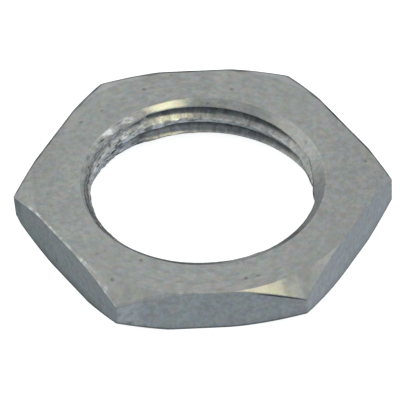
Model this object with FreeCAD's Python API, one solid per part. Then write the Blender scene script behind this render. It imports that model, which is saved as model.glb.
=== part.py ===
"""A thin hexagonal lock nut with a fine metric thread, M18 x 1.5, lying flat on its lower face.

Its origin is on the thread's axis at the lower face, with +Z up the axis and two corners of the
hexagon on the X axis. The nut is one solid: a hexagonal blank whose corners are turned off to a
slope at both faces, bored, countersunk at both ends and tapped right through.
"""
import FreeCAD, Part

import math
import os

# Driving dimensions, in millimetres and degrees; the wall is the metal between the thread and each flat
thread_diameter = 18.0
thread_pitch = 1.5
wall_at_flats = 3.0
thickness = 3.5
corner_chamfer_depth = 1.0
corner_chamfer_angle = 30.0

# At its face each countersink is wider than the thread by its margin, on the radius; the lower is deeper
upper_countersink_margin = 0.04
lower_countersink_margin = 0.5
countersink_angle = 120.0

# Height over the lower face at which the middle of the thread's groove crosses the +Y side
groove_height_at_back = 1.2

# The form of an ISO metric thread: its flank angle, and its flats as shares of the pitch
thread_angle = 60.0
crest_flat_share = 1 / 4
root_flat_share = 1 / 8

# The bore's circle is drawn as this many equal arcs, so that no crest of the thread is one long face
bore_arcs = 6

# How far a cutting shape runs past what it cuts
overcut = 1.0


def half_angle_slope(included_angle):
    """Radial change per unit of height on a wall that stands at half this angle to the axis."""
    return math.tan(math.radians(included_angle / 2))


# A flank stands at half the thread's angle to the plane across the axis
flank_slope = half_angle_slope(thread_angle)
flank_width_share = (1 - crest_flat_share - root_flat_share) / 2
thread_depth = flank_width_share * thread_pitch / flank_slope

major_radius = thread_diameter / 2
minor_radius = major_radius - thread_depth
across_flats = thread_diameter + 2 * wall_at_flats
corner_radius = across_flats / math.sqrt(3)


def revolved(half_section):
    """A solid of revolution about the axis, from the (radius, height) corners of a half section."""
    corners = [FreeCAD.Vector(radius, 0, height) for radius, height in half_section]
    face = Part.Face(Part.makePolygon(corners + corners[:1]))
    return face.revolve(FreeCAD.Vector(0, 0, 0), FreeCAD.Vector(0, 0, 1), 360)


def hexagon_blank():
    """The bar stock: a hexagonal prism with corners on the X axis."""
    turns = [math.radians(60 * number) for number in range(6)]
    corners = [FreeCAD.Vector(math.cos(turn), math.sin(turn), 0) * corner_radius for turn in turns]
    return Part.Face(Part.makePolygon(corners + corners[:1])).extrude(FreeCAD.Vector(0, 0, thickness))


def turned_envelope():
    """A disc wider than the corners, sloped at both faces, that leaves the blank's corners turned off."""
    slope = math.tan(math.radians(corner_chamfer_angle))
    face_radius = corner_radius - corner_chamfer_depth / slope
    rim_radius = corner_radius + overcut
    rim_rise = corner_chamfer_depth + overcut * slope
    return revolved([
        (0, 0),
        (face_radius, 0),
        (rim_radius, rim_rise),
        (rim_radius, thickness - rim_rise),
        (face_radius, thickness),
        (0, thickness),
    ])


def tapping_bore():
    """The plain hole at the thread's minor diameter."""
    def on_circle(turn):
        return FreeCAD.Vector(minor_radius * math.cos(turn), minor_radius * math.sin(turn), -overcut)

    step = 2 * math.pi / bore_arcs
    starts = [number * step for number in range(bore_arcs)]
    arcs = [Part.Arc(on_circle(s), on_circle(s + step / 2), on_circle(s + step)).toShape() for s in starts]
    return Part.Face(Part.Wire(arcs)).extrude(FreeCAD.Vector(0, 0, thickness + 2 * overcut))


def countersink(mouth_height, outward, margin):
    """The cone that opens the hole at one face, wider than the thread there by the margin.

    Outward is +1 at the upper face and -1 at the lower.
    """
    slope = half_angle_slope(countersink_angle)
    mouth_radius = major_radius + margin
    return revolved([
        (0, mouth_height - outward * mouth_radius / slope),
        (mouth_radius + overcut * slope, mouth_height + outward * overcut),
        (0, mouth_height + outward * overcut),
    ])


def thread_groove():
    """The right-hand helical groove that the tap cuts, run past both faces.

    Its section is a trapezoid with the root flat at the major diameter. The flanks open inwards to
    halfway between the minor diameter and the place where two turns of the groove would meet.
    """
    inner_radius = minor_radius - crest_flat_share * thread_pitch / 4 / flank_slope
    root_half_width = root_flat_share * thread_pitch / 2
    inner_half_width = root_half_width + (major_radius - inner_radius) * flank_slope

    # The groove rises a quarter of a pitch from the +X side, where it is drawn, to the +Y side
    height_at_side = groove_height_at_back - thread_pitch / 4
    turns_below = math.ceil(height_at_side / thread_pitch) + 1
    start = height_at_side - turns_below * thread_pitch
    end = thickness + thread_pitch

    spine = Part.makeLongHelix(thread_pitch, end - start, major_radius)
    spine.translate(FreeCAD.Vector(0, 0, start))
    section = [
        FreeCAD.Vector(inner_radius, 0, start - inner_half_width),
        FreeCAD.Vector(major_radius, 0, start - root_half_width),
        FreeCAD.Vector(major_radius, 0, start + root_half_width),
        FreeCAD.Vector(inner_radius, 0, start + inner_half_width),
    ]
    sweep = Part.BRepOffsetAPI.MakePipeShell(spine)
    sweep.setFrenetMode(True)
    sweep.add(Part.makePolygon(section + section[:1]))
    sweep.build()
    sweep.makeSolid()
    return sweep.shape()


def hex_nut():
    """The finished nut: blank, turned corners, hole, countersinks, then the thread."""
    body = hexagon_blank().common(turned_envelope())
    body = body.cut(tapping_bore())
    body = body.cut(countersink(0, -1, lower_countersink_margin))
    body = body.cut(countersink(thickness, 1, upper_countersink_margin))
    return body.cut(thread_groove()).Solids[0]


os.makedirs("parts", exist_ok=True)
hex_nut().exportStep("parts/hex_nut.step")
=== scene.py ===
import math

import bpy
import numpy as np
from bpy.props import FloatProperty, FloatVectorProperty, IntProperty, PointerProperty
from mathutils import Matrix, Vector


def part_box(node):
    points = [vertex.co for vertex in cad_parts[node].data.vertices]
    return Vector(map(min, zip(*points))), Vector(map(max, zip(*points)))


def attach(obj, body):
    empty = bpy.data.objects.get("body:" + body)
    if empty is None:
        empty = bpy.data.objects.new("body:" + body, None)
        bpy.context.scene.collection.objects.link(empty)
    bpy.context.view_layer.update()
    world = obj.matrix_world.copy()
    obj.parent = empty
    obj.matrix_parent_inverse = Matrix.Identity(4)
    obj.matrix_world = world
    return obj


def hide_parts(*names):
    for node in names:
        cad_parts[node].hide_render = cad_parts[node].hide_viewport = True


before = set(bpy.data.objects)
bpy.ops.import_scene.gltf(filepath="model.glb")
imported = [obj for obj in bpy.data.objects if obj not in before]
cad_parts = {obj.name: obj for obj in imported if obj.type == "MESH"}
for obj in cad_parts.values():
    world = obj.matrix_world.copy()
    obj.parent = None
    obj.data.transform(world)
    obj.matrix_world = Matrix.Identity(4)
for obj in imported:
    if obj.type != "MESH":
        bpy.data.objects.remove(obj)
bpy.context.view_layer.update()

bl_info = {
    "name": "Thin hexagonal lock nut",
    "version": (1, 0, 0),
    "blender": (4, 5, 0),
    "location": "3D View > Sidebar > Lock nut",
    "description": "Dresses a thin hexagonal lock nut: turned faces, flats, countersinks and a cut thread",
    "category": "Add Mesh",
}

NUT_NODE = "hex_nut"
NUT_BODY = "root"
MM = 0.001

nut_low, nut_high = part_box(NUT_NODE)

# How deep the slope is turned at each corner, as shares of the corner drop: the corner on +X first,
# then anticlockwise as seen from above
UPPER_DROPS = (0.72, 0.91, 0.92, 0.80, 1.0, 1.05)
LOWER_DROPS = (0.88, 1.0, 1.0, 1.0, 0.86, 1.04)

# How much darker the upper countersink is made round the hole: turns in degrees, and the share of the dark
# colour mixed in
COUNTERSINK_DARK_TURNS = (0, 15, 46, 60, 72, 82, 91, 97, 150, 165, 185,
              205, 220, 232, 245, 262, 278, 290, 308, 320, 330, 345)
COUNTERSINK_DARK_SHARES = (0.3, 0.08, 0.05, 0.17, 0.05, 0.05, 0.2, 0.0, 0.0, 0.08, 0.25,
               0.35, 0.22, 0.33, 0.43, 0.6, 0.4, 0.05, 0.05, 0.22, 0.48, 0.5)

# The basic form of a metric thread: slope of its flanks, and how much of a pitch its depth takes
FLANK_SLOPE = math.tan(math.radians(30))
THREAD_DEPTH_SHARE = 5 / 16 / FLANK_SLOPE
ROOT_FLAT_SHARE = 1 / 8

# Arcs of the nut that are worn or marked, or that carry painted light or shade: start and end in degrees
# from +X, anticlockwise as seen from above, the width over which each end fades, and how much. That is
# millimetres for metal that has moved, and a share for all else, over 1 where faint specks are to show in
# full
ARCS = {
    "lower mouth off centre": (20, 100, 20, 0.075),
    "lower mouth chipped": (120, 160, 16, 0.24),
    "lower crest broken off": (117, 183, 12, 0.42),
    "upper crest worn": (-62, -14, 8, 0.24),
    "middle crest level": (30, 104, 12, 0.3),
    "middle crest raised": (6, 24, 10, 0.17),
    "lip in front": (222, 284, 30, 0.12),
    "lip on the right": (-11, 14, 10, 0.18),
    "knocked corner": (178.5, 181.5, 5, 0.2),
    "upper groove filled": (116, 206, 6, 0.8),
    "upper groove half filled": (-50, 46, 18, 0.44),
    "smooth crests": (215, 352, 20, 0.7),
    "front edge rounded": (228, 272, 40, 0.85),
    "left edge rounded": (182, 238, 4, 0.4),
    "torn wall": (116, 176, 14, 1),
    "lit lower groove": (58, 150, 26, 1),
    "crests with less highlight": (-40, 38, 20, 0.6),
    "first dent's highlight": (124, 132, 4, 2.2),
    "second dent's highlight": (137, 145, 4, 2.2),
    "left edge's highlights": (188, 239, 4, 1),
    "left flat's lit upper part": (182, 239.8, 8, 0.1),
    "lighter front left corner": (240.2, 246, 3, 0.4),
    "left flat's shaded foot": (182, 236, 10, 0.5),
    "shaded left corner": (178, 184, 5, 0.35),
    "smoother slope": (276, 303, 6, 0.3),
    "slope's toned-down highlight": (281, 293, 5, 0.2),
    "shadow under the slope": (286, 299, 9, 0.9),
    "far edges": (1, 179, 2, 0.87),
    "lighter far edge": (140, 166, 12, 0.3),
}

# Heights over the lower face, in millimetres, at which some wear, marks, painted light or painted shade begin
# and are at their full
HEIGHTS = {
    "lower crest": (1.45, 1.15),
    "upper crest": (2.45, 2.7),
    "middle crest's lower edge": (1.9, 1.77),
    "upper groove": (2.5, 2.9),
    "upper countersink": (3.0, 3.12),
    "foot of the corner": (2.6, 0.5),
    "foot of the flats": (0.9, 0.35),
    "upper part of the flats": (1.2, 2.6),
    "lit lower groove's top": (1.8, 1.6),
    "lit lower groove's bottom": (0.85, 1.15),
    "darker countersink": (2.5, 2.7),
}

# Raised metal on the thread's crests: its height over the lower face and its width
LIP_HEIGHT, LIP_WIDTH = 2.86 * MM, 0.12 * MM
RAISED_CREST_HEIGHT, RAISED_CREST_WIDTH = 1.65 * MM, 0.15 * MM

# Dents in the upper countersink on the left: middle and half width in degrees, and how far each moves the
# wall; then how many degrees from the middle the wall is back in place, and the height of the highlight
# painted on them
DENTS = ((128, 3.5, 0.09 * MM), (141, 3.5, 0.07 * MM))
DENT_REACH = 10
DENT_HIGHLIGHT_HEIGHT = 3.36 * MM

# A point this near to a flat counts as on it
FLAT_MARGIN = 0.001 * MM


# Sizes and finishes that a user would change

class NutSizes(bpy.types.PropertyGroup):
    """The nut's own measures, all in metres or radians."""
    across_flats: FloatProperty(
        name="Across flats", description="Distance between two opposite flats",
        default=nut_high.y - nut_low.y, unit="LENGTH", precision=5)
    thickness: FloatProperty(
        name="Thickness", description="Height from the lower face to the upper one",
        default=nut_high.z - nut_low.z, unit="LENGTH", precision=5)
    thread_diameter: FloatProperty(
        name="Thread diameter", description="Diameter at the bottom of the thread's groove",
        default=0.018, unit="LENGTH", precision=5)
    thread_pitch: FloatProperty(
        name="Thread pitch", description="Rise of the thread in one turn",
        default=0.0015, unit="LENGTH", precision=5)
    groove_height: FloatProperty(
        name="Groove height", description="Height at which the middle of the groove crosses the +Y side",
        default=0.0012, unit="LENGTH", precision=5)
    upper_mouth: FloatProperty(
        name="Upper countersink", description="Diameter of the countersink where it meets the upper face",
        default=0.01808, unit="LENGTH", precision=5)
    lower_mouth: FloatProperty(
        name="Lower countersink", description="Diameter of the countersink where it meets the lower face",
        default=0.019, unit="LENGTH", precision=5)
    countersink_angle: FloatProperty(
        name="Countersink angle", description="Angle of both countersinks, from side to side",
        default=math.radians(120), unit="ROTATION")
    rim_rounding: FloatProperty(
        name="Rim rounding", description="Rounding of the edges between the countersinks and the faces",
        default=0.00005, unit="LENGTH", precision=6)
    crest_rounding: FloatProperty(
        name="Crest rounding", description="How far the edges of the thread's crests are worn",
        default=0.00005, unit="LENGTH", precision=6)
    corner_drop: FloatProperty(
        name="Corner drop", description="How far the turned slope falls at a corner",
        default=0.001, unit="LENGTH", precision=5)
    corner_slope: FloatProperty(
        name="Corner slope", description="Angle of the turned corners to the face",
        default=math.radians(30), unit="ROTATION")
    edge_rounding: FloatProperty(
        name="Edge rounding", description="Rounding of the most worn edge between a flat and a face",
        default=0.00022, unit="LENGTH", precision=6)
    corner_rounding: FloatProperty(
        name="Corner rounding", description="Radius of the six upright corners",
        default=0.00016, unit="LENGTH", precision=6)
    burr: FloatProperty(
        name="Burr", description="Height of the torn metal left on the thread's crests and edges",
        default=0.00003, unit="LENGTH", precision=6)
    columns: IntProperty(
        name="Columns", description="Steps of the surface round the axis, without those added at the corners",
        default=576, min=72)
    wall_rows: IntProperty(
        name="Wall rows", description="Steps of the surface up the threaded wall",
        default=96, min=24)


class NutFinish(bpy.types.PropertyGroup):
    """The colours and surface of the bare steel."""
    steel: FloatVectorProperty(
        name="Steel", description="Colour of the clean metal",
        default=(0.68, 0.68, 0.667), subtype="COLOR", min=0, max=1)
    dull: FloatVectorProperty(
        name="Dull steel", description="Colour of the duller patches and the marks between them",
        default=(0.48, 0.485, 0.48), subtype="COLOR", min=0, max=1)
    # Also the colour of the painted highlights and of the painted light in the lower groove
    bright: FloatVectorProperty(
        name="Bright steel", description="Colour of the freshly torn and rubbed metal of the thread",
        default=(0.96, 0.96, 0.96), subtype="COLOR", min=0, max=1)
    # Also the colour of the painted shade along the edges, at the flats' feet, by the left corner and at the
    # two ends
    darkening: FloatVectorProperty(
        name="Grime", description="Colour of old oil and dirt in the pits, in the groove and along edges",
        default=(0.06, 0.065, 0.08), subtype="COLOR", min=0, max=1)
    face_roughness: FloatProperty(
        name="Face roughness", description="Roughness of the upper and lower faces",
        default=0.42, subtype="FACTOR", min=0, max=1)
    cut_roughness: FloatProperty(
        name="Cut roughness", description="Roughness of the flats, the countersinks and the thread",
        default=0.2, subtype="FACTOR", min=0, max=1)
    grain_size: FloatProperty(
        name="Grain size", description="Width of the finest marks",
        default=0.00045, unit="LENGTH", precision=6)
    grain_height: FloatProperty(
        name="Grain height", description="Depth of the finest marks",
        default=0.000004, unit="LENGTH", precision=7)


class StudioLook(bpy.types.PropertyGroup):
    """The floor, the lights and the surroundings."""
    floor_colour: FloatVectorProperty(
        name="Floor", description="Colour of the floor",
        default=(0.9, 0.9, 0.9), subtype="COLOR", min=0, max=1)
    floor_glow: FloatProperty(
        name="Floor glow", description="Light that the floor gives by itself, as a light table does",
        default=0.8, min=0)
    floor_size: FloatProperty(
        name="Floor size", description="Width of the floor",
        default=1.6, unit="LENGTH")
    key_colour: FloatVectorProperty(
        name="Key colour", description="Colour of the warm main light",
        default=(1.0, 0.95, 0.58), subtype="COLOR", min=0, max=1)
    key_power: FloatProperty(
        name="Key power", description="Power of the main light",
        default=0.15, min=0, unit="POWER")
    key_size: FloatProperty(
        name="Key size", description="Width of the main light",
        default=0.2, unit="LENGTH")
    sky: FloatVectorProperty(
        name="Sky", description="Light from the upper surroundings",
        default=(0.42, 0.44, 0.44), subtype="COLOR", min=0, max=1)
    ground_left: FloatVectorProperty(
        name="Ground, left", description="Light from below the horizon on the left",
        default=(0.27, 0.31, 0.33), subtype="COLOR", min=0, max=1)
    ground_right: FloatVectorProperty(
        name="Ground, right", description="Light from below the horizon on the right",
        default=(0.44, 0.49, 0.54), subtype="COLOR", min=0, max=1)


# Shader building

class Value:
    """One shader socket. Arithmetic on it adds Math nodes to its tree."""

    def __init__(self, tree, socket):
        self.tree, self.socket = tree, socket

    def math(self, operation, *operands):
        return self.tree.add("Math", {"operation": operation}, *operands)

    def __add__(self, other):
        return self.math("ADD", self, other)

    def __sub__(self, other):
        return self.math("SUBTRACT", self, other)

    def __rsub__(self, other):
        return self.math("SUBTRACT", other, self)

    def __mul__(self, other):
        return self.math("MULTIPLY", self, other)

    def __truediv__(self, other):
        return self.math("DIVIDE", self, other)

    def __pow__(self, other):
        return self.math("POWER", self, other)

    __radd__ = __add__
    __rmul__ = __mul__

    def above(self, low, high):
        """0 below low, 1 over high and a smooth rise between; with low over high it falls instead."""
        if low > high:
            return 1 - self.above(high, low)
        settings = {"interpolation_type": "SMOOTHSTEP"}
        return self.tree.add("MapRange", settings, self, low, high, 0.0, 1.0)


class Tree:
    """A node tree that is being filled."""

    def __init__(self, node_tree):
        self.nodes, self.links = node_tree.nodes, node_tree.links
        self.nodes.clear()

    def add(self, kind, settings=None, *inputs, output=0, **named):
        """One node of a kind, such as Math. Its settings are set first, then its sockets by place or by name.

        The node's output socket comes back as a Value.
        """
        node = self.nodes.new("ShaderNode" + kind)
        for name, value in (settings or {}).items():
            setattr(node, name, value)
        for key, value in [*enumerate(inputs), *named.items()]:
            socket = node.inputs[key if isinstance(key, int) else key.replace("_", " ")]
            if isinstance(value, Value):
                self.links.new(value.socket, socket)
            elif value is not None:
                socket.default_value = value
        return Value(self, node.outputs[output]) if node.outputs else None

    def blend(self, factor, first, second, how="MIX"):
        """A colour between two colours."""
        node = self.nodes.new("ShaderNodeMix")
        node.data_type, node.blend_type = "RGBA", how
        for name, value in (("Factor_Float", factor), ("A_Color", first), ("B_Color", second)):
            socket = next(s for s in node.inputs if s.identifier == name)
            if isinstance(value, Value):
                self.links.new(value.socket, socket)
            else:
                socket.default_value = value if isinstance(value, float) else (*value, 1.0)
        return Value(self, next(s for s in node.outputs if s.identifier == "Result_Color"))

    def vector(self, operation, *operands, output=0):
        return self.add("VectorMath", {"operation": operation}, *operands, output=output)

    def separate(self, place):
        """The three coordinates of a place."""
        node = self.nodes.new("ShaderNodeSeparateXYZ")
        self.links.new(place.socket, node.inputs[0])
        return [Value(self, socket) for socket in node.outputs]

    def noise(self, place, scale, detail=2.0, roughness=0.5):
        """Cloudy noise from 0 to 1 at a place."""
        return self.add("TexNoise", {"noise_dimensions": "3D"}, place, Scale=scale, Detail=detail,
                        Roughness=roughness)


def fresh_material(name):
    material = bpy.data.materials.new(name)
    material.use_nodes = True
    return material, Tree(material.node_tree)


# Surfaces

def periodic_noise(turn, height, cells_round, cell_height, seed):
    """Smooth noise from -1 to 1 over the turn round the axis and the height.

    Random values stand on a grid that closes on itself round the axis, and each place takes a smooth
    blend of the four values about it.
    """
    rows = 64
    grid = np.random.default_rng(seed).uniform(-1, 1, (cells_round, rows))
    u = np.mod(turn / (2 * math.pi), 1) * cells_round
    v = np.mod(height / cell_height, rows)
    column, row = np.floor(u).astype(int), np.floor(v).astype(int)
    s, t = u - column, v - row
    s, t = s * s * (3 - 2 * s), t * t * (3 - 2 * t)
    column, row = column % cells_round, row % rows
    right, up = (column + 1) % cells_round, (row + 1) % rows
    lower = grid[column, row] * (1 - s) + grid[right, row] * s
    upper = grid[column, up] * (1 - s) + grid[right, up] * s
    return lower * (1 - t) + upper * t


def noise_round(turn, cells_round, seed):
    """Smooth noise from -1 to 1 that changes with the turn alone."""
    return periodic_noise(turn, 0 * turn, cells_round, MM, seed)


def ramp(value, low, high):
    """0 below low, 1 above high and a straight rise between; with low over high it falls instead."""
    return np.clip((value - low) / (high - low), 0, 1)


def peak(value, middle, width):
    """1 at the middle, falling off on both sides as a bell curve: exp(-(distance / width) squared)."""
    return np.exp(-((value - middle) / width) ** 2)


def on_arc(turn, name):
    """The amount of a named arc over that arc, and 0 beyond it, with smooth ends."""
    start, end, soft, amount = ARCS[name]
    middle, half = math.radians((start + end) / 2), math.radians((end - start) / 2)
    off = np.abs(np.mod(turn - middle + math.pi, 2 * math.pi) - math.pi)
    t = np.clip((half - off) / math.radians(soft) + 0.5, 0, 1)
    return amount * t * t * (3 - 2 * t)


def at_height(height, name):
    """0 before a named height begins, 1 once it is at its full, and a straight rise between."""
    begins, full = HEIGHTS[name]
    return ramp(height, begins * MM, full * MM)


def column_turns(sizes):
    """The turn of each column: even steps round the axis, with more about each of the six corners."""
    even = np.linspace(0, 2 * math.pi, sizes.columns, endpoint=False)
    corner_radius = sizes.across_flats / math.sqrt(3)
    reach = sizes.corner_rounding * math.tan(math.radians(30)) / corner_radius
    near = np.array([-2.2, -1, -0.5, 0.5, 1, 2.2]) * reach
    extra = (np.radians(np.arange(0, 360, 60))[:, None] + near).ravel()
    return np.unique(np.round(np.mod(np.concatenate([even, extra]), 2 * math.pi), 9))


def outer_radius(turn, sizes):
    """Distance from the axis to the hexagon's side.

    It is the flat's distance over the cosine of the turn from the middle of that flat. Near a corner
    it is the far side of a circle that touches both flats, seen from the axis.
    """
    apothem = sizes.across_flats / 2
    corner = apothem / math.cos(math.radians(30))
    from_flat = np.mod(turn, math.radians(60)) - math.radians(30)
    from_corner = math.radians(30) - np.abs(from_flat)
    rounding = sizes.corner_rounding
    centre = corner - rounding / math.cos(math.radians(30))
    across = centre * np.sin(from_corner)
    rounded = centre * np.cos(from_corner) + np.sqrt(np.maximum(rounding**2 - across**2, 0))
    flat = apothem / np.cos(from_flat)
    touches = centre * math.sin(math.radians(30))
    along_flat = flat * np.sin(np.abs(from_flat))
    return np.where(along_flat > touches, np.minimum(rounded, flat), flat)


def eased_maximum(first, second, easing):
    """The larger of two values, with the corner where they cross eased by about half the given distance."""
    return (first + second + np.sqrt((first - second) ** 2 + easing**2)) / 2


def minor_radius(sizes):
    """Radius of the plain bore: the groove's floor less the thread's depth."""
    return sizes.thread_diameter / 2 - THREAD_DEPTH_SHARE * sizes.thread_pitch


def cone_slope(sizes):
    """How much a countersink's radius changes for each unit of height."""
    return math.tan(sizes.countersink_angle / 2)


def upper_cone(height, sizes):
    """Radius of the upper countersink: that of its mouth, less its slope times the depth."""
    return sizes.upper_mouth / 2 - cone_slope(sizes) * (sizes.thickness - height)


def lower_mouth_radius(turn, sizes):
    """Radius of the lower countersink at its face: cut a little off centre, and chipped at the back left."""
    moved = on_arc(turn, "lower mouth chipped") - on_arc(turn, "lower mouth off centre")
    return sizes.lower_mouth / 2 + moved * MM


def lower_cone(turn, height, sizes):
    """Radius of the lower countersink: that of its mouth, less its slope times the height."""
    return lower_mouth_radius(turn, sizes) - cone_slope(sizes) * height


def thread_wall(turn, height, sizes, easing=0.0):
    """Distance from the axis to the hole's wall: the deepest of three cuts.

    They are the plain bore at the minor radius, the two cones of the countersinks, and the thread's
    groove. The groove's middle rises by one pitch a turn, its floor is flat at the major radius, and
    its flanks close in at 30 degrees to the plane across the axis.
    """
    pitch, major = sizes.thread_pitch, sizes.thread_diameter / 2
    middle = sizes.groove_height + pitch * (turn / (2 * math.pi) - 0.25)
    off = np.abs(np.mod(height - middle + pitch / 2, pitch) - pitch / 2)
    groove = major - np.maximum(off - ROOT_FLAT_SHARE * pitch / 2, 0) / FLANK_SLOPE
    cones = np.maximum(upper_cone(height, sizes), lower_cone(turn, height, sizes))
    return eased_maximum(eased_maximum(groove, cones, easing), minor_radius(sizes), easing)


def wall_creases(turn, sizes):
    """Heights in every column where two of the wall's cuts may meet, each a straight-line crossing."""
    pitch, major = sizes.thread_pitch, sizes.thread_diameter / 2
    root_half = ROOT_FLAT_SHARE * pitch / 2
    crest_half = root_half + THREAD_DEPTH_SHARE * pitch * FLANK_SLOPE
    # Each cone as radius = start + slope * height
    rise = cone_slope(sizes)
    cones = [(lower_mouth_radius(turn, sizes), -rise), (upper_cone(0, sizes), rise)]
    creases = [0 * turn + (radius - start) / slope
               for start, slope in cones for radius in (minor_radius(sizes), major)]
    for lap in range(-1, 4):
        middle = sizes.groove_height + pitch * (turn / (2 * math.pi) - 0.25 + lap)
        creases += [middle + shift for shift in (-crest_half, -root_half, root_half, crest_half)]
        for side in (-1, 1):
            # Each flank as radius = start + slope * height
            slope = -side / FLANK_SLOPE
            start = major - slope * (middle + side * root_half)
            creases += [(start - cone_start) / (cone_rise - slope)
                        for cone_start, cone_rise in cones if abs(cone_rise - slope) > 0.01]
    return creases


def wall_heights(turn, low, high, sizes):
    """Heights of the wall's rows in every column: even steps, with rows drawn on to the wall's creases.

    Where the wall's slope does change at one of the crossings, the nearest row takes that height.
    """
    even = np.linspace(low, high, sizes.wall_rows)
    step = even[1] - even[0]
    heights = np.repeat(even[None, :], len(turn), 0)
    probe = 0.002 * MM
    for crease in wall_creases(turn, sizes):
        bend = (thread_wall(turn, crease - probe, sizes) + thread_wall(turn, crease + probe, sizes)
                - 2 * thread_wall(turn, crease, sizes))
        row = np.round((crease - low) / step).astype(int)
        here = (np.abs(bend) > 0.2 * probe) & (row > 0) & (row < sizes.wall_rows - 1)
        heights[np.nonzero(here)[0], row[here]] = crease[here]
    return heights


def worn_wall(turn, height, sizes):
    """The threaded wall after use: each kind of wear in turn moves it out or in, over its arc and heights.

    Fine noise stands for the torn metal along the crests.
    """
    minor = minor_radius(sizes)
    wall = thread_wall(turn, height, sizes, sizes.crest_rounding)
    # The thin crest at the lower end has broken off on the left, and the one at the upper end is worn
    ragged = 1 + 0.12 * noise_round(turn, 160, 8)
    broken = ragged * on_arc(turn, "lower crest broken off") * at_height(height, "lower crest")
    worn = on_arc(turn, "upper crest worn") * at_height(height, "upper crest")
    lost = np.maximum(broken, worn) * MM
    wall = np.maximum(wall, minor + lost)
    # The middle crest is worn back to a level lower edge on the right
    over_lower_groove = height > 1.25 * MM
    level = on_arc(turn, "middle crest level") * at_height(height, "middle crest's lower edge")
    wall = np.maximum(wall, minor + level * over_lower_groove * MM)
    # Torn metal fills most of the upper groove on the left, and half of it on the right
    filled = np.maximum(on_arc(turn, "upper groove filled"), on_arc(turn, "upper groove half filled"))
    lowest = np.maximum(minor + 0.14 * MM, upper_cone(height, sizes))
    wall = wall - filled * at_height(height, "upper groove") * np.maximum(wall - lowest, 0)
    # A lip of metal that the tap pushed up stands on the upper crest, and a raised place on the middle one
    lip = on_arc(turn, "lip in front") + on_arc(turn, "lip on the right")
    lip = lip * peak(height, LIP_HEIGHT, LIP_WIDTH)
    raised = on_arc(turn, "middle crest raised") * peak(height, RAISED_CREST_HEIGHT, RAISED_CREST_WIDTH)
    wall = wall - (lip + raised) * MM + cone_dents(turn, height, sizes)
    # Torn metal: most along the crests and on the torn stretch, and none at the two rims
    rough = (periodic_noise(turn, height, 110, 0.14 * MM, 5)
             + 0.5 * periodic_noise(turn, height, 230, 0.3 * MM, 6))
    roughest = peak(wall, minor + lost, 0.12 * MM) + 0.7 * on_arc(turn, "torn wall")
    end = sizes.rim_rounding / cone_slope(sizes)
    settled = ramp(np.minimum(height, sizes.thickness - height), end, end + 0.1 * MM)
    settled = settled * (1 - on_arc(turn, "smooth crests"))
    return wall + sizes.burr * settled * roughest * rough


def cone_dents(turn, height, sizes):
    """Two dents in the upper countersink on the left, which tip it towards the main light.

    Across each one the wall goes from inside the cone to outside it by a straight slope, and it comes
    back to the cone by straight slopes on both sides.
    """
    depth = 0 * turn
    for middle, half, rise in DENTS:
        off = np.mod(np.degrees(turn) - middle + 180, 360) - 180
        depth = depth + rise * np.interp(off, (-DENT_REACH, -half, half, DENT_REACH), (0, -1, 1, 0))
    below_rim = ramp(height, sizes.thickness, sizes.thickness - 0.25 * MM)
    return depth * at_height(height, "upper countersink") * below_rim


def rounded_turn(start, corner, end, steps):
    """Points of a quadratic curve from start to end that leaves and arrives along the lines to the corner."""
    t = np.linspace(0, 1, steps)
    parts = [(1 - t) ** 2, 2 * t * (1 - t), t**2]
    return [sum(w[i] * np.asarray(p) for w, p in zip(parts, (start, corner, end))) for i in range(steps)]


def worn_rounding(turn, sizes, seed):
    """Rounding of the edge in every column: most at the left of the front flat, and uneven all round."""
    uneven = 0.35 * noise_round(turn, 420, seed) + 0.25 * noise_round(turn, 130, seed + 1)
    worn = np.maximum(on_arc(turn, "front edge rounded"), on_arc(turn, "left edge rounded"))
    return sizes.edge_rounding * (0.15 + worn) * (1 + uneven)


def turned_slope(turn, radius, drops, sizes):
    """How far the turned slope lies below the face, and the radius at which it leaves the face.

    It falls by its angle's slope over the distance beyond that radius.
    """
    corner = np.round(np.degrees(turn) / 60).astype(int) % 6
    slope = math.tan(sizes.corner_slope)
    face_edge = sizes.across_flats / math.sqrt(3) - sizes.corner_drop * np.array(drops)[corner] / slope
    return np.maximum(radius - face_edge, 0) * slope, face_edge


def edge_line(turn, rounding, fall):
    """Distances from the edge at which the painted dark line of shade along it has ended and is still whole.

    The line is wider on the two far corner slopes, where the edge falls below the face.
    """
    wider = 1 + 1.6 * ramp(fall, 0, 0.1 * MM) * np.maximum(np.sin(turn), 0) ** 1.5
    whole = np.maximum(0.12 * MM, rounding + 0.01 * MM) * wider
    return whole + 0.06 * MM * wider, whole


def outer_rows(turn, mouth, rounding, drops, sizes):
    """Half of the nut's outer section, from a countersink's rim over its face to beyond the face's edge.

    Each row is a (distance from the axis, depth below the face) pair for every column. The face is
    level out to the turned circle and falls along the corner slope beyond it. A curve rounds its edge
    with the flat, wider or narrower from place to place, as filing leaves it.
    """
    outer = outer_radius(turn, sizes)
    rim = sizes.rim_rounding
    zero = 0 * turn
    edge, face_edge = turned_slope(turn, outer, drops, sizes)
    rows = rounded_turn((zero + mouth - rim, zero + rim / cone_slope(sizes)),
                        (zero + mouth, zero), (zero + mouth + rim, zero), 5)

    line_ends, line_whole = edge_line(turn, rounding, edge)
    last = outer - line_ends
    bend = np.minimum(face_edge, last - 0.01 * MM)
    beyond = last - bend
    on_face = [zero + mouth + 2 * rim, (2 * mouth + bend) / 3, (mouth + 2 * bend) / 3, bend - 0.05 * MM, bend]
    on_slope = [bend + np.minimum(0.05 * MM, 0.3 * beyond), bend + 0.5 * beyond, last, outer - line_whole]
    rows += [(radius, turned_slope(turn, radius, drops, sizes)[0]) for radius in on_face + on_slope]
    start = outer - rounding
    start_depth = turned_slope(turn, start, drops, sizes)[0]
    rows += rounded_turn((start, start_depth), (outer, edge), (outer, edge + rounding), 6)
    rows += [(outer, edge + rounding + below) for below in (0.03 * MM, 0.10 * MM, 0.17 * MM)]
    return [np.asarray(row) for row in rows]


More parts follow.
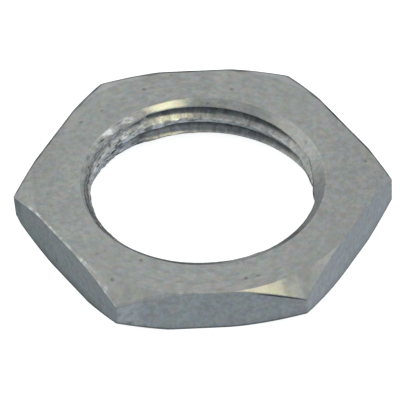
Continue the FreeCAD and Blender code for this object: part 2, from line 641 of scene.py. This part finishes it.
def nut_sections(turn, upper_rounding, lower_rounding, sizes):
    """Radius and height of the closed section's rows in every column, and how many of them are on the wall.

    The rows go up the threaded wall, out over the upper face, down the flat and in under the lower face.
    """
    thickness = sizes.thickness
    upper = outer_rows(turn, sizes.upper_mouth / 2, upper_rounding, UPPER_DROPS, sizes)
    lower = outer_rows(turn, lower_mouth_radius(turn, sizes), lower_rounding, LOWER_DROPS, sizes)
    rim = sizes.rim_rounding / cone_slope(sizes)
    heights = wall_heights(turn, rim, thickness - rim, sizes)
    wall = worn_wall(turn[:, None] + 0 * heights, heights, sizes)
    # The first and last heights are those of the rims, which the faces' rows start with
    rows = [(wall[:, m], heights[:, m]) for m in range(1, sizes.wall_rows - 1)]
    wall_count = len(rows)
    rows += [(radius, thickness - depth) for radius, depth in upper]
    top, bottom = thickness - upper[-1][1], lower[-1][1]
    rows += [(upper[-1][0], top + (bottom - top) * part) for part in (0.25, 0.5, 0.75)]
    rows += [(radius, depth) for radius, depth in reversed(lower)]
    return np.stack([row[0] for row in rows], 1), np.stack([row[1] for row in rows], 1), wall_count


def bright_zones(turns, radius, height, thread, on_cone, on_flat, at_edge, sizes):
    """Where the steel is lightened: painted highlights on the thread's crests, on the dents and in spots
    along the left flat's edge, painted light on the left flat's upper part, and a lighter strip by the front
    flat's left corner.
    """
    minor = minor_radius(sizes)
    crests = thread * ramp(radius, minor + 0.16 * MM, minor + 0.06 * MM)
    crests = crests * (0.65 - on_arc(turns, "crests with less highlight"))
    dents = np.maximum(on_arc(turns, "first dent's highlight"), on_arc(turns, "second dent's highlight"))
    dents = on_cone * ramp(np.abs(height - DENT_HIGHLIGHT_HEIGHT), 0.12 * MM, 0.05 * MM) * dents
    spots = ramp(noise_round(turns, 260, 41), -0.5, 0.4) * on_arc(turns, "left edge's highlights")
    corner = on_flat * on_arc(turns, "lighter front left corner")
    left = on_flat * at_height(height, "upper part of the flats") * on_arc(turns, "left flat's lit upper part")
    return np.maximum.reduce([crests, dents, corner, left, at_edge * spots])


def darkened_zones(turns, radius, height, thread, is_wall, on_flat, outer, rounding, sizes):
    """Where the steel is darker: towards the groove's floor and in the countersink, and as painted shade
    along the far edges, under the corner slope, at the flats' feet, by the left corner, and on the slope
    where its highlight is toned down.
    """
    thickness, major = sizes.thickness, sizes.thread_diameter / 2
    # The groove is darker towards its floor, and the upper countersink darker by turn as listed
    groove = thread * ramp(radius, major - 0.28 * MM, major - 0.14 * MM)
    share = np.interp(np.degrees(turns), COUNTERSINK_DARK_TURNS, COUNTERSINK_DARK_SHARES, period=360)
    countersink = is_wall * at_height(height, "darker countersink") * share

    # Painted shade: a dark line along the far edges, under the bright corner slope and along the foot of the
    # flats
    upper_edge = thickness - turned_slope(turns, outer, UPPER_DROPS, sizes)[0]
    lower_edge = turned_slope(turns, outer, LOWER_DROPS, sizes)[0]
    fall = turned_slope(turns, outer_radius(turns, sizes), UPPER_DROPS, sizes)[0]
    line_ends, line_whole = edge_line(turns, rounding, fall)
    on_top = ~is_wall * (height > upper_edge - 0.5 * rounding)
    uneven = 0.85 + 0.35 * noise_round(turns, 90, 31) - on_arc(turns, "lighter far edge")
    far = on_top * ramp(outer - radius, line_ends, line_whole) * on_arc(turns, "far edges") * uneven
    # Painted shadow: a strip of the flat just under the burr of the bright corner slope
    below = rounding + 0.10 * MM
    under_slope = on_flat * ramp(upper_edge - height, below + 0.07 * MM, below) * (height > thickness / 2)
    under_slope = under_slope * on_arc(turns, "shadow under the slope")
    # Painted shade: the flats darken towards their feet, most on the left flat, as the mirrored contact
    # shadow
    foot_shade = (0.12 + on_arc(turns, "left flat's shaded foot")) * at_height(height, "foot of the flats")
    foot = on_flat * (ramp(height - lower_edge, 0.24 * MM, 0.12 * MM) + foot_shade)
    # Painted shade on the flats beside the knocked left corner
    corner_shade = on_arc(turns, "shaded left corner") * on_flat

    # The corner slope at the right of the front flat is painted a little darker where it catches the main
    # light, to tone down its highlight
    slope = ~is_wall & (radius < outer - FLAT_MARGIN) & (height > thickness / 2)
    dull = slope * ramp(thickness - height, 0, 0.03 * MM) * on_arc(turns, "slope's toned-down highlight")
    marks = [0.3 * groove, countersink, far, under_slope, 0.6 * foot, corner_shade, dull]
    return np.clip(np.maximum.reduce(marks), 0, 1)


def nut_surface(sizes):
    """The whole skin of the nut as one closed grid, round the axis one way and round the section the other.

    It gives the points, columns by rows by three, and the zones, which are values for each point that the
    material reads: thread on the thread, flat on the six flats, cut where a tool left the metal smoother
    than the two level faces, torn where the wall is, groove_light where the lower groove gets painted light,
    lightened where highlights and light are painted or the steel is lighter, and darkening where it is
    darker, partly as painted shade.
    """
    turn = column_turns(sizes)
    thickness, major = sizes.thickness, sizes.thread_diameter / 2
    upper_rounding = worn_rounding(turn, sizes, 11)
    lower_rounding = np.minimum(worn_rounding(turn, sizes, 23), 0.07 * MM)
    radius, height, wall_count = nut_sections(turn, upper_rounding, lower_rounding, sizes)
    is_wall = np.arange(radius.shape[1]) < wall_count
    turns = turn[:, None] + 0 * radius

    # The left corner is knocked back, most at its foot
    knock = on_arc(turns, "knocked corner") * at_height(height, "foot of the corner") * MM
    knock = knock * ramp(radius, 11 * MM, 13.5 * MM)
    radius = radius - knock
    outer = outer_radius(turns, sizes) - knock
    points = np.stack([radius * np.cos(turns), radius * np.sin(turns), height], 2)

    cones = np.maximum(upper_cone(height, sizes), lower_cone(turns, height, sizes))
    thread = is_wall * ramp(radius, cones, cones + 0.05 * MM)
    on_flat = ~is_wall & (radius > outer - FLAT_MARGIN)
    beside_flat = ~is_wall & (radius < outer - FLAT_MARGIN)
    rounding = upper_rounding[:, None]
    upper_edge = thickness - turned_slope(turns, outer, UPPER_DROPS, sizes)[0]
    at_edge = ~is_wall & (np.abs(height - upper_edge) < 1.1 * rounding) & (radius > outer - 1.6 * rounding)
    smoothness = np.where(beside_flat, 0.6 + on_arc(turns, "smoother slope"), 1)
    # Painted light: the lower groove's flanks by the root are brightened where the groove's own shade falls
    flanks = thread * ramp(radius, major - 0.1 * MM, major - 0.3 * MM) * on_arc(turns, "lit lower groove")
    lower_groove = at_height(height, "lit lower groove's top") * at_height(height, "lit lower groove's bottom")
    on_cone = is_wall * (1 - thread)
    zones = {
        "thread": thread,
        "flat": on_flat * 1.0,
        "cut": ramp(np.minimum(height, thickness - height), 0, 0.02 * MM) * smoothness,
        "torn": is_wall * on_arc(turns, "torn wall") * (0.15 + 0.85 * thread),
        "groove_light": flanks * lower_groove,
        "lightened": bright_zones(turns, radius, height, thread, on_cone, on_flat, at_edge, sizes),
        "darkening": darkened_zones(turns, radius, height, thread, is_wall, on_flat, outer, rounding, sizes),
    }
    return points, zones


def grid_mesh(name, points, attributes):
    """A closed mesh from a grid that joins up with itself both ways, two triangles to each cell."""
    columns, rows = points.shape[:2]
    index = np.arange(columns * rows).reshape(columns, rows)
    right, up = np.roll(index, -1, 0), np.roll(index, -1, 1)
    both = np.roll(right, -1, 1)
    faces = np.concatenate([np.stack([index, both, right], 2).reshape(-1, 3),
                            np.stack([index, up, both], 2).reshape(-1, 3)])
    mesh = bpy.data.meshes.new(name)
    mesh.from_pydata(points.reshape(-1, 3).tolist(), [], faces.tolist())
    for label, values in attributes.items():
        layer = mesh.attributes.new(label, "FLOAT", "POINT")
        layer.data.foreach_set("value", values.astype(np.float32).ravel())
    mesh.shade_smooth()
    mesh.set_sharp_from_angle(angle=math.radians(34))
    mesh.update()
    return mesh


# Materials

# Faint colour casts of the steel: two opposite tints, and how far the pattern between them is shifted
TINTS = (
    ((1.04, 0.975, 1.01), (0.96, 1.025, 0.99), 0.0),
    ((1.025, 1.0, 0.94), (0.975, 1.0, 1.06), 7.0),
)


def drum_place(tree, outward, around, along):
    """A place on a drum: once round the axis is so many units, so a larger number gives shorter marks."""
    upright = tree.add("CombineXYZ", None, 0.0, 0.0, along)
    return tree.vector("ADD", tree.vector("MULTIPLY", outward, (around, around, 0.0)), upright)


def bare_steel(finish):
    """Matt turned steel: short marks round the axis, cloudy patches, pits and torn metal, darker hollows,
    painted highlights, and painted light and shade.

    Places are in millimetres, and so are the scales of the noises, as marks to the millimetre.
    """
    material, tree = fresh_material("bare_steel")
    dull, steel, bright, darkening_colour = (tuple(c) for c in (finish.dull, finish.steel, finish.bright, finish.darkening))
    coordinates = tree.add("TexCoord", None, output=3)
    place = tree.vector("MULTIPLY", coordinates, (1000.0, 1000.0, 1000.0))
    x, y, z = tree.separate(place)
    radius = (x * x + y * y) ** 0.5
    outward = tree.vector("NORMALIZE", tree.vector("MULTIPLY", place, (1.0, 1.0, 0.0)))
    short_marks, long_marks = (drum_place(tree, outward, around, radius + z * 0.8) for around in (7.0, 3.0))
    flat, thread, lightened, cut, torn, groove_light, darkening = (
        tree.add("Attribute", {"attribute_name": zone}, output=2)
        for zone in ("flat", "thread", "lightened", "cut", "torn", "groove_light", "darkening"))

    # The flats, and the faces towards the left and right ends, have no turned marks, only an even grain
    sideways = (x * x) / (x * x + y * y)
    even_grain = flat + sideways * (1 - flat)
    grain, plain = tree.noise(short_marks, MM / finish.grain_size, 2.5, 0.7), tree.noise(place, 2.4, 2.5, 0.7)
    grain = grain + even_grain * (plain - grain)
    marks = tree.noise(long_marks, 3.5, 2.0, 0.5)
    marks = marks + even_grain * (0.5 - marks)
    clouds = tree.noise(place, 0.7, 2.0, 0.5)
    mottle = (grain - 0.5) * 2.6 + (marks - 0.5) * 0.9 + (clouds - 0.5) * 0.35
    colour = tree.blend((mottle + 0.5).above(-0.2, 1.2), dull, steel)

    # Painted shade darkens the right and left ends of the nut, and handling has dulled wide patches between
    # them
    patches = tree.noise(place, 0.16, 1.0, 0.5)
    shaded_ends_and_patches = x.above(3.0, 13.0) * 0.9 + x.above(-9.5, -12.5) * 0.6 + patches.above(0.4, 0.62) * 0.5
    colour = tree.blend(shaded_ends_and_patches * 0.09, colour, darkening_colour)
    for first, second, shift in TINTS:
        tint = tree.noise(tree.vector("ADD", place, (shift, shift, shift)), 1.6, 1.0, 0.5)
        colour = tree.blend(1.0, colour, tree.blend(tint.above(0.25, 0.75), first, second), "MULTIPLY")

    pits = tree.add("TexVoronoi", {"feature": "F1"}, place, Scale=0.7, output=0)
    pit = pits.above(0.17, 0.05) * clouds.above(0.46, 0.56)
    colour = tree.blend(pit * 0.45, colour, darkening_colour)

    # Upright marks that the tap left as it chattered, specks, and streaks of torn metal along the thread
    chatter = tree.noise(drum_place(tree, outward, 24.0, z * 2.6), 1.0, 2.0, 0.6)
    specks = tree.noise(short_marks, 2.6, 2.0, 0.6)
    streaks = tree.noise(long_marks, 3.2, 2.5, 0.65)
    even = (1 - torn) * thread
    colour = tree.blend(even * 0.13, colour, darkening_colour)
    # Painted light brightens the lower groove's flanks
    colour = tree.blend(groove_light * 0.45, colour, bright)
    colour = tree.blend(even * chatter.above(0.5, 0.7) * 0.3, colour, bright)
    colour = tree.blend(even * chatter.above(0.5, 0.3) * 0.3, colour, darkening_colour)
    # Painted highlights on the crests, the dents and the left edge, painted light on the left flat's upper
    # part, and the lighter front left corner
    colour = tree.blend(lightened * (specks * (1 - torn) + streaks * torn).above(0.38, 0.58), colour, bright)
    colour = tree.blend(torn * streaks.above(0.56, 0.64) * 0.8, colour, bright)
    colour = tree.blend(torn * streaks.above(0.46, 0.36) * 0.75, colour, darkening_colour)
    # Darker groove floor and countersink, and painted shade along the far edges, under the corner slope, at
    # the flats' feet and by the left corner
    colour = tree.blend(darkening, colour, darkening_colour)

    rough = finish.face_roughness + cut * (finish.cut_roughness - finish.face_roughness) + thread * 0.04
    rough = rough + (clouds - 0.5) * 0.1 + (grain - 0.5) * 0.15
    height = grain * 0.6 + marks * 0.5 - pit + even * chatter * 2.0 + torn * streaks * 3.0
    bump = tree.add("Bump", None, Strength=0.6, Distance=finish.grain_height, Height=height)
    shader = tree.add("BsdfPrincipled", None, Base_Color=colour, Metallic=1.0, Roughness=rough, Normal=bump)
    tree.add("OutputMaterial", None, shader)
    return material


def light_table(look):
    """The floor's white, hardly mottled, which gives some light of its own."""
    material, tree = fresh_material("pale_floor")
    pale = tuple(look.floor_colour)
    mottle = tree.noise(tree.add("TexCoord", None, output=3), 30.0, 2.0)
    tone = tree.blend(mottle, tuple(0.99 * c for c in pale), pale)
    shader = tree.add("BsdfPrincipled", None, Base_Color=tone, Roughness=0.9,
                      Emission_Color=(1.0, 1.0, 1.0, 1.0), Emission_Strength=look.floor_glow)
    tree.add("OutputMaterial", None, shader)
    return material


# Operators

class MakeNutBody(bpy.types.Operator):
    """Make the nut's body over its CAD node, with its rounded edges, thread and steel"""
    bl_idname = "lock_nut.make_body"
    bl_label = "Nut body"

    def execute(self, context):
        scene = context.scene
        points, zones = nut_surface(scene.nut_sizes)
        mesh = grid_mesh("nut_body", points, zones)
        mesh.materials.append(bare_steel(scene.nut_finish))
        body = bpy.data.objects.new("nut_body", mesh)
        scene.collection.objects.link(body)
        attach(body, NUT_BODY)
        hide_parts(NUT_NODE)
        return {"FINISHED"}


# The photograph's view, from the nut's edges: turn and height of the camera, its tilt about its own
# axis, its distance, and where the image's middle falls from the nut's origin, right and down
CAMERA_TURN = math.radians(-2.3875)
CAMERA_HEIGHT = math.radians(42.7196)
CAMERA_TILT = math.radians(0.8972)
CAMERA_DISTANCE = 0.85608
CAMERA_LENS = 1053.2
SENSOR_WIDTH = 36.0
VIEW_OFFSET = (0.000236, 0.001155)

# The floor lies this far under the nut's lower face, so that the two never show through each other
FLOOR_GAP = 0.02 * MM

# Where the main light stands, seen from the nut, and how far from it
KEY_DIRECTION = (0.275, -0.15, 0.95)
KEY_DISTANCE = 0.7

# The softer lights and the dark places about the nut: the direction of each one's middle, how many
# degrees from it the light starts to change and has changed to that of the surroundings, and its light
SOFT_LIGHTS = (
    ((0.0, 0.7, 0.71), 30, 65, (0.53, 0.56, 0.55)),
    ((-0.98, 0.15, 0.05), 10, 25, (0.85, 0.87, 0.87)),
    ((-0.655, 0.36, 0.665), 13, 28, (0.72, 0.75, 0.72)),
    ((0.655, 0.215, 0.725), 6, 14, (0.82, 0.86, 0.86)),
    ((0.0, 0.97, -0.1), 30, 50, (0.56, 0.58, 0.59)),
    ((0.0, 0.2, -0.98), 20, 40, (0.10, 0.11, 0.12)),
)

# What the camera itself sees behind the floor
BACKDROP = (0.95, 0.95, 0.95)


def camera_axes():
    """Rows: the image's right and down, and the direction from the nut to the camera."""
    back = np.array([math.sin(CAMERA_TURN) * math.cos(CAMERA_HEIGHT),
                     -math.cos(CAMERA_TURN) * math.cos(CAMERA_HEIGHT), math.sin(CAMERA_HEIGHT)])
    right = np.cross(-back, [0, 0, 1])
    right /= np.linalg.norm(right)
    down = np.cross(-back, right)
    c, s = math.cos(CAMERA_TILT), math.sin(CAMERA_TILT)
    return c * right + s * down, -s * right + c * down, back


def make_floor(scene, look):
    """A square floor just under the nut."""
    half = look.floor_size / 2
    mesh = bpy.data.meshes.new("floor")
    corners = [(x, y, -FLOOR_GAP) for x, y in ((-half, -half), (half, -half), (half, half), (-half, half))]
    mesh.from_pydata(corners, [], [(0, 1, 2, 3)])
    mesh.materials.append(light_table(look))
    floor = bpy.data.objects.new("floor", mesh)
    floor.visible_glossy = False
    scene.collection.objects.link(floor)


def make_surroundings(scene, look):
    """A sky and a ground that differs from left to right, with the softer lights and dark places on them."""
    world = bpy.data.worlds.new("studio")
    world.use_nodes = True
    tree = Tree(world.node_tree)
    direction = tree.add("TexCoord", None, output=0)
    across, _, up = tree.separate(direction)
    ground = tree.blend(across.above(-1.0, 1.0), tuple(look.ground_left), tuple(look.ground_right))
    light = tree.blend(up.above(-0.15, 0.15), ground, tuple(look.sky))
    for toward, full, faded, colour in SOFT_LIGHTS:
        nearness = tree.vector("DOT_PRODUCT", direction, tuple(Vector(toward).normalized()), output=1)
        inside = nearness.above(math.cos(math.radians(faded)), math.cos(math.radians(full)))
        light = tree.blend(inside, light, colour)
    seen = tree.add("LightPath", None, output=0)
    background = tree.add("Background", None, tree.blend(seen, light, BACKDROP), 1.0)
    tree.add("OutputWorld", None, background)
    scene.world = world


def make_key_light(scene, look):
    """A round soft light that faces the nut and isn't seen itself."""
    light = bpy.data.lights.new("key", "AREA")
    light.shape = "DISK"
    light.size, light.energy, light.color = look.key_size, look.key_power, look.key_colour
    holder = bpy.data.objects.new("key", light)
    toward = Vector(KEY_DIRECTION).normalized()
    holder.location = toward * KEY_DISTANCE
    holder.rotation_euler = toward.to_track_quat("Z", "Y").to_euler()
    holder.visible_camera = False
    scene.collection.objects.link(holder)


def make_camera(scene):
    """The camera at the photograph's place, turned to its view."""
    camera_data = bpy.data.cameras.new("camera")
    camera_data.lens, camera_data.sensor_width = CAMERA_LENS, SENSOR_WIDTH
    camera_data.clip_start, camera_data.clip_end = 0.01, 10.0
    camera = bpy.data.objects.new("camera", camera_data)
    right, down, back = camera_axes()
    eye = back * CAMERA_DISTANCE - VIEW_OFFSET[0] * right - VIEW_OFFSET[1] * down
    turn = Matrix(np.column_stack([right, -down, back]).tolist()).to_4x4()
    camera.matrix_world = Matrix.Translation(eye.tolist()) @ turn
    scene.collection.objects.link(camera)
    scene.camera = camera


class MakeStudio(bpy.types.Operator):
    """Make the floor, the lights, the surroundings and the camera"""
    bl_idname = "lock_nut.make_studio"
    bl_label = "Studio"

    def execute(self, context):
        scene, look = context.scene, context.scene.studio_look
        make_floor(scene, look)
        make_surroundings(scene, look)
        make_key_light(scene, look)
        make_camera(scene)
        scene.view_settings.view_transform = "Standard"
        return {"FINISHED"}


class LockNutPanel(bpy.types.Panel):
    """Sizes, finish and studio of the lock nut"""
    bl_idname = "VIEW3D_PT_lock_nut"
    bl_label = "Lock nut"
    bl_space_type = "VIEW_3D"
    bl_region_type = "UI"
    bl_category = "Lock nut"

    def draw(self, context):
        layout = self.layout
        for label, group in (("Sizes", "nut_sizes"), ("Finish", "nut_finish"), ("Studio", "studio_look")):
            box = layout.box()
            box.label(text=label)
            settings = getattr(context.scene, group)
            for name in settings.__annotations__:
                box.prop(settings, name)
        layout.operator(MakeNutBody.bl_idname)
        layout.operator(MakeStudio.bl_idname)


CLASSES = (NutSizes, NutFinish, StudioLook, MakeNutBody, MakeStudio, LockNutPanel)


def register():
    for kind in CLASSES:
        bpy.utils.register_class(kind)
    bpy.types.Scene.nut_sizes = PointerProperty(type=NutSizes)
    bpy.types.Scene.nut_finish = PointerProperty(type=NutFinish)
    bpy.types.Scene.studio_look = PointerProperty(type=StudioLook)


def unregister():
    del bpy.types.Scene.studio_look, bpy.types.Scene.nut_finish, bpy.types.Scene.nut_sizes
    for kind in reversed(CLASSES):
        bpy.utils.unregister_class(kind)


def main():
    register()
    bpy.ops.lock_nut.make_body()
    bpy.ops.lock_nut.make_studio()


if __name__ == "__main__":
    main()
